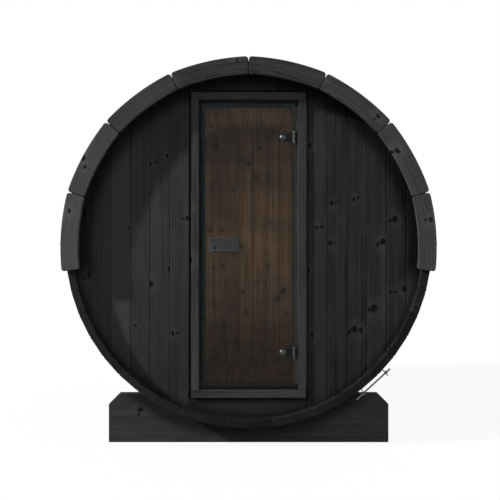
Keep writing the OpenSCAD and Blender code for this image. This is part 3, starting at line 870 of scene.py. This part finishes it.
# %% Lay the shingles
bm = bmesh.new()
underlay(bm)
tone = bm.verts.layers.float.new("tone")
for vert in bm.verts:
    vert[tone] = 0.2
surface = ROOF_IN + UNDERLAY_T
quarter = math.pi / 2 * surface
courses = int(quarter / COURSE) + 1
for side in (-1, 1):
    for course in range(courses):
        shift = 0.5 * TAB_W if course % 2 else 0.0
        along = roof_low.y + TAB_W / 2 - shift
        while along < roof_high.y + TAB_W / 2 - 1e-6:
            before = len(bm.verts)
            bm.from_mesh(tab_mesh)
            bm.verts.ensure_lookup_table()
            number = board_number(Vector((side * course, along, side)))
            for vert in bm.verts[before:]:
                climb = min(course * COURSE + vert.co.y, quarter)
                lift = 0.0042 * (1 - vert.co.y / TAB_LONG) * 0.55 + vert.co.z
                angle = climb / surface
                out = surface + lift
                y = min(max(along + vert.co.x, roof_low.y), roof_high.y)
                vert.co = (side * out * math.cos(angle), y, AXIS_Z + out * math.sin(angle))
                vert[tone] = number
            along += TAB_W
bmesh.ops.dissolve_degenerate(bm, dist=1e-5, edges=bm.edges)
bmesh.ops.recalc_face_normals(bm, faces=bm.faces)
finish_piece(bm, "roof_shingles", CABIN, "roof_felt", (felt,), "roof_cover")
bpy.data.meshes.remove(tab_mesh)

# %% [markdown]
# ## Door leaf
# The leaf is one sheet of bronze glass with polished edges. The grips are flat blocks of stained wood
# with a fine grain, held off the glass by short spacers, so fingers fit behind them.

# %% Make the door leaf
bm = node_copy("door_glass")
ease_edges(bm, 0.0012, 2)
finish_piece(bm, "glass_leaf", DOOR, "bronze_glass", (glass,), "door_glass")
for node in ("outer_handle", "inner_handle"):
    bm = node_copy(node)
    ease_edges(bm, 0.0016, 2)
    add_grain(bm, straight_grain(LONG_X), lambda centre: 0.40)
    finish_piece(bm, node + "_grip", DOOR, "stained_trim", (grip_stain,), node)

# %% [markdown]
# ## Metal fittings
# Hinges and clamps are small castings with broken edges. Their plates are painted dark, while the
# knuckles and the domed caps are bare steel, so each face takes its finish from where it lies. The
# straps, rods and nuts keep their solids and only take a finish.

# %% Finish the fittings
KNUCKLE_R = 0.008
PLATE_T = 0.005
leaf_low = node_box("upper_jamb_hinge")[0]
pane_low = node_box("door_glass")[0]
pin_x = leaf_low.x + KNUCKLE_R
pin_y = leaf_low.y + KNUCKLE_R


def bare_steel(point):
    """True on a knuckle and on the dome in front of a clamp plate."""
    on_knuckle = math.hypot(point.x - pin_x, point.y - pin_y) < KNUCKLE_R * 1.1
    on_dome = point.x < pin_x - 2 * KNUCKLE_R and point.y < pane_low.y - PLATE_T * 1.1
    return on_knuckle or on_dome


FITTINGS = (("upper_jamb_hinge", CABIN), ("lower_jamb_hinge", CABIN), ("upper_glass_clamp", DOOR),
            ("lower_glass_clamp", DOOR))
for node, body in FITTINGS:
    bm = node_copy(node)
    ease_edges(bm, 0.0007, 2)
    for face in bm.faces:
        face.material_index = 0 if bare_steel(face.calc_center_median()) else 1
    finish_piece(bm, node + "_casting", body, "steel", (steel, black_sheet), node)
for node in ("front_hoop", "middle_hoop", "rear_hoop"):
    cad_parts[node].data.materials[0] = steel
for node in ("tension_rods", "tension_nuts"):
    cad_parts[node].data.materials[0] = zinc
for node in ("left_drip_edge", "right_drip_edge", "handle_spacers"):
    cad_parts[node].data.materials[0] = dark_sheet

# %% [markdown]
# ## Sky
# The world is white to the camera, in reflections and through the glass. What it sheds on the object
# is a dimmer and cooler sky. The reflections are a little bluer, as the edge of the glass is in the
# photograph.

# %% Light the sky
SKY = 0.50
SKY_BLUE = (0.96, 1.00, 1.03)
MIRROR_BLUE = (0.70, 0.89, 1.00)
WHITE = (1, 1, 1)

world = bpy.data.worlds.new("studio")
bpy.context.scene.world = world
world.use_nodes = True
wire = Wire(world.node_tree)
background = world.node_tree.nodes["Background"]


def shown_to(wire):
    """1 for rays that show the studio, directly, mirrored or through glass, and 1 for mirrored rays."""
    rays = wire.make("ShaderNodeLightPath").socket.node.outputs
    names = ("Is Camera Ray", "Is Glossy Ray", "Is Transmission Ray")
    seen, mirrored, through = (Wire(wire.tree, rays[name]) for name in names)
    return (seen + mirrored + through).clamp(), mirrored


shown, mirrored = shown_to(wire)
level = SKY + shown * (1.0 - SKY)
tint = mirrored.blend(shown.blend(SKY_BLUE, WHITE), MIRROR_BLUE)
world.node_tree.links.new(level.socket, background.inputs["Strength"])
world.node_tree.links.new(tint.socket, background.inputs["Color"])
print("sky level", SKY)

# %% [markdown]
# ## Key and fill
# The key comes from far to the left and nearly along the wall, so that the fascia throws its crescent
# of shadow on the boards. The fill is weak and wide and comes from the right.

# %% Hang the key and the fill
KEY = 5.4
KEY_FROM = Vector((-0.817, -0.263, 0.516))
FILL = 0.4
FILL_FROM = Vector((0.62, -0.75, 0.22))
for name, energy, source, spread in (("key", KEY, KEY_FROM, 3), ("fill", FILL, FILL_FROM, 60)):
    sun_data = bpy.data.lights.new(name, "SUN")
    sun_data.energy = energy
    sun_data.angle = math.radians(spread)
    sun = bpy.data.objects.new(name, sun_data)
    sun.rotation_euler = source.to_track_quat("Z", "Y").to_euler()
    bpy.context.collection.objects.link(sun)
print("key lamp from", tuple(round(part, 2) for part in KEY_FROM))

# %% [markdown]
# ## Daylight in the cabin
# A bright yard throws daylight through the door. Three lamps stand for it: one on the back wall, one
# on the ceiling and one on the floor.

# %% Light the cabin
CABIN_LAMPS = (
    ("door_daylight", (0, wall_high.y + 0.15, AXIS_Z + 0.02), (math.pi / 2, 0, 0), 1.38, 1.2),
    ("ceiling_daylight", (0, 0.40, AXIS_Z), (math.pi, 0, 0), 0.55, 1.2),
    ("floor_daylight", (0, 0.40, AXIS_Z - 0.2), (0, 0, 0), 0.08, 1.2),
)
for name, place, turn, energy, spread in CABIN_LAMPS:
    lamp_data = bpy.data.lights.new(name, "AREA")
    lamp_data.shape = "RECTANGLE"
    lamp_data.size = 0.5
    lamp_data.size_y = 0.7
    lamp_data.energy = energy
    lamp_data.spread = spread
    lamp = bpy.data.objects.new(name, lamp_data)
    lamp.location = place
    lamp.rotation_euler = turn
    bpy.context.collection.objects.link(lamp)
print("cabin lamps", [name for name, *rest in CABIN_LAMPS])

# %% [markdown]
# ## Floor
# The floor glows white for the rays that show it and keeps a little of the object's shadow. For the
# light that bounces off it, it is an ordinary grey floor. Mirrored in the glass, the ground near the
# door is a little darker and warmer than the distance.

# %% Lay the floor
FLOOR_HALF = 60.0
YARD = (0.80, 0.76, 0.70)
YARD_DEPTH = 12.0
bm = bmesh.new()
bmesh.ops.create_grid(bm, x_segments=1, y_segments=1, size=FLOOR_HALF)
floor_mesh = bpy.data.meshes.new("floor")
bm.to_mesh(floor_mesh)
bm.free()
floor = bpy.data.objects.new("floor", floor_mesh)
bpy.context.collection.objects.link(floor)

floor_finish, floor_shader, wire = new_finish("pale_floor", {"Specular IOR Level": 0.0, "Roughness": 1.0})
shown, mirrored = shown_to(wire)
feed(floor_shader, Base_Color=shown.blend((0.20, 0.20, 0.20), (0.05, 0.05, 0.05)))
place = wire.make("ShaderNodeTexCoord", output="Object")
depth = place.make("ShaderNodeSeparateXYZ", None, {0: place}, 1)
yard = depth.step(FRONT_Y - YARD_DEPTH, FRONT_Y).blend(MIRROR_BLUE, YARD)
glow = mirrored.blend(WHITE, yard)
feed(floor_shader, Emission_Color=shown.blend((0, 0, 0), glow))
floor_shader.inputs["Emission Strength"].default_value = 0.93
floor_mesh.materials.append(floor_finish)
print("floor of", 2 * FLOOR_HALF, "m")

# %% [markdown]
# ## Colour
# Colours are shown as they are written.

# %% Finish
bpy.context.scene.view_settings.view_transform = "Standard"
